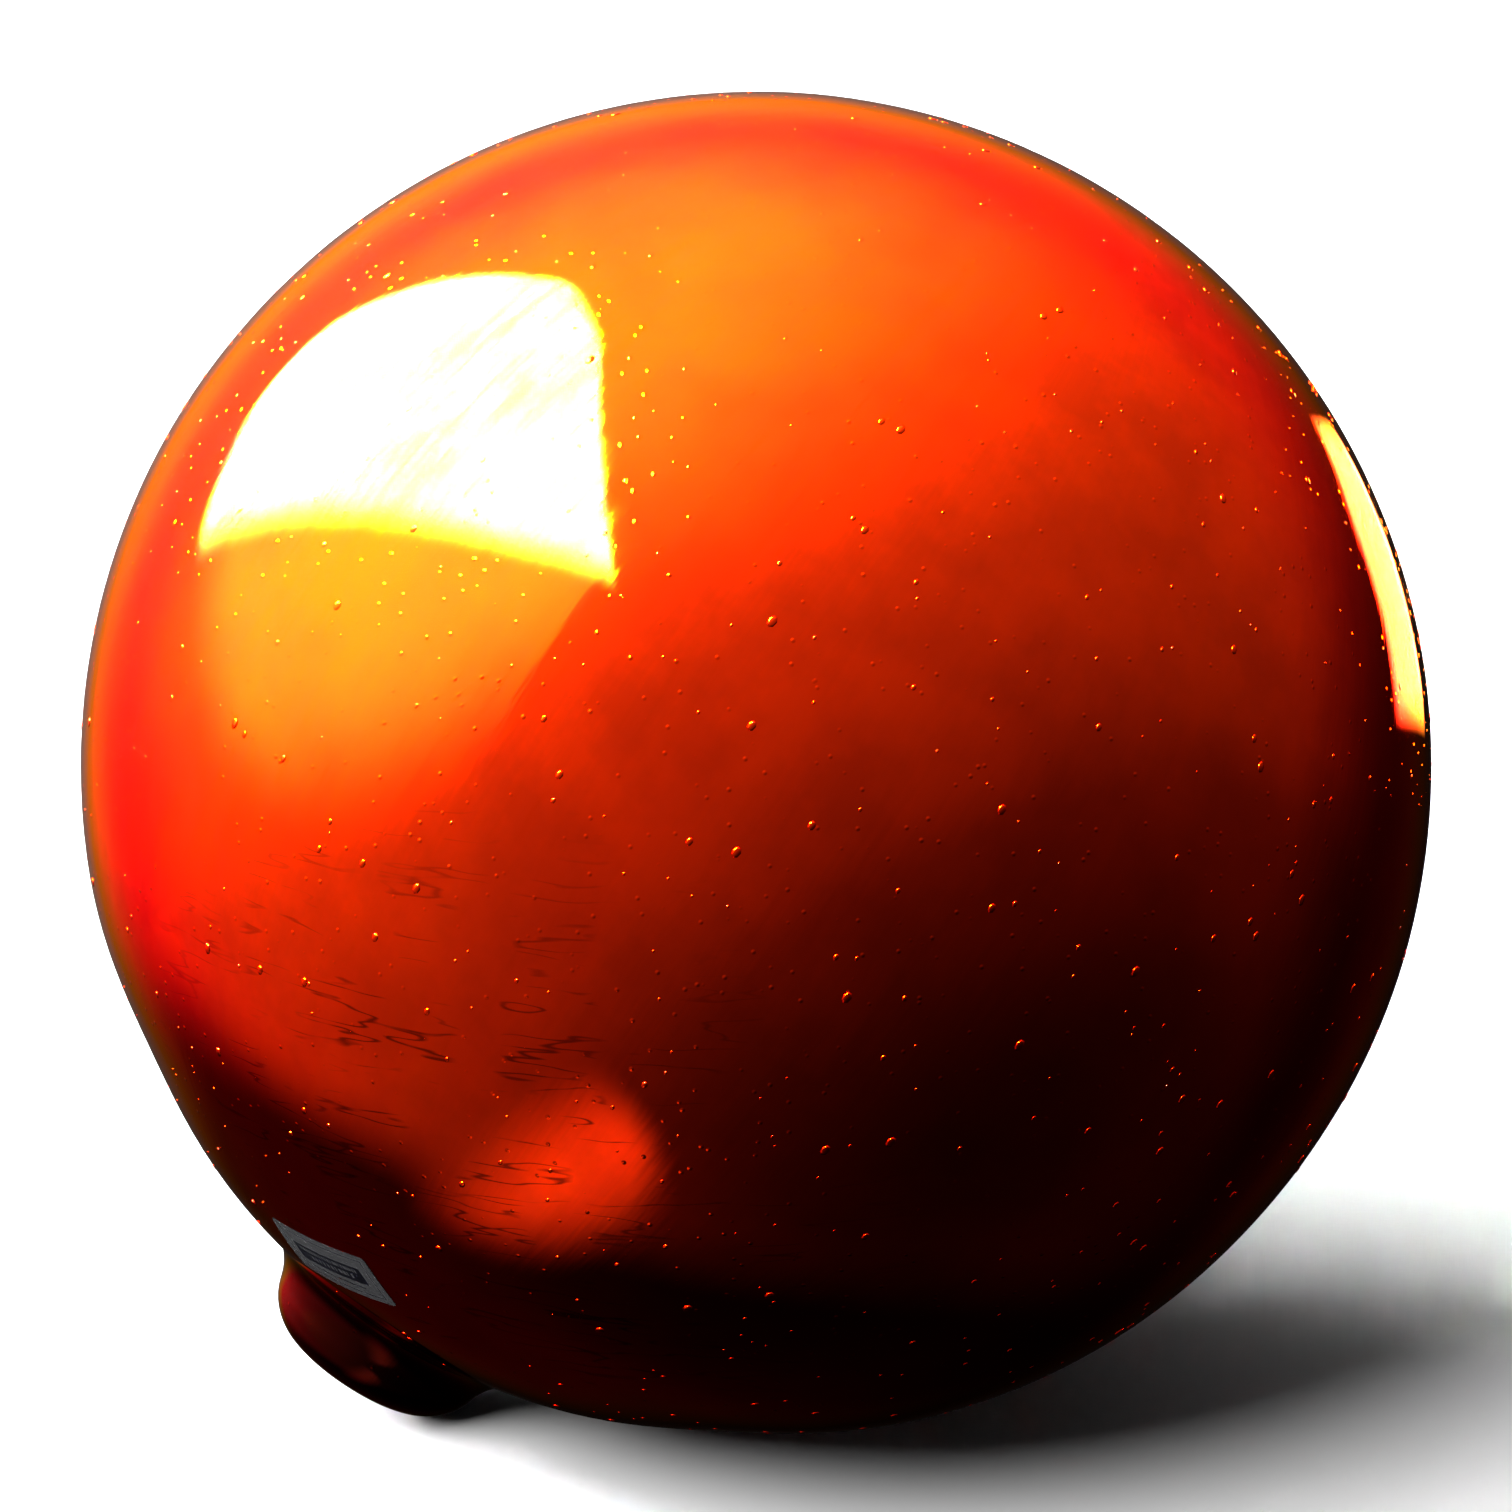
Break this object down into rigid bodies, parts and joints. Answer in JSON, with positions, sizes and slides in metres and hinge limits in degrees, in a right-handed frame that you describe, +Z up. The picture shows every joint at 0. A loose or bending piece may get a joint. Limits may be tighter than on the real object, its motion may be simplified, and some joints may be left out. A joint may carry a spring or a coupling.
{
  "type": "gazing globe",
  "caption": "Mirrored orange glass gazing globe: a hollow blown ball with a short open neck with a rolled rim, lying on its side, with a small foil label on its shoulder",
  "frame": {"origin": "middle of the small flat on the belly that the globe lies on", "axes": "+Z up from the surface it lies on; -X the side the neck points to, 35 degrees off straight down; -Y the side with the label, toward the viewer"},
  "size_m": [0.2997, 0.3, 0.2952],
  "materials": {
    "silvered_glass": "polished",
    "label_foil": "satin"
  },
  "bodies": {
    "root": {"glass_globe": "silvered_glass", "foil_label": "label_foil"}
  },
  "joints": []
}
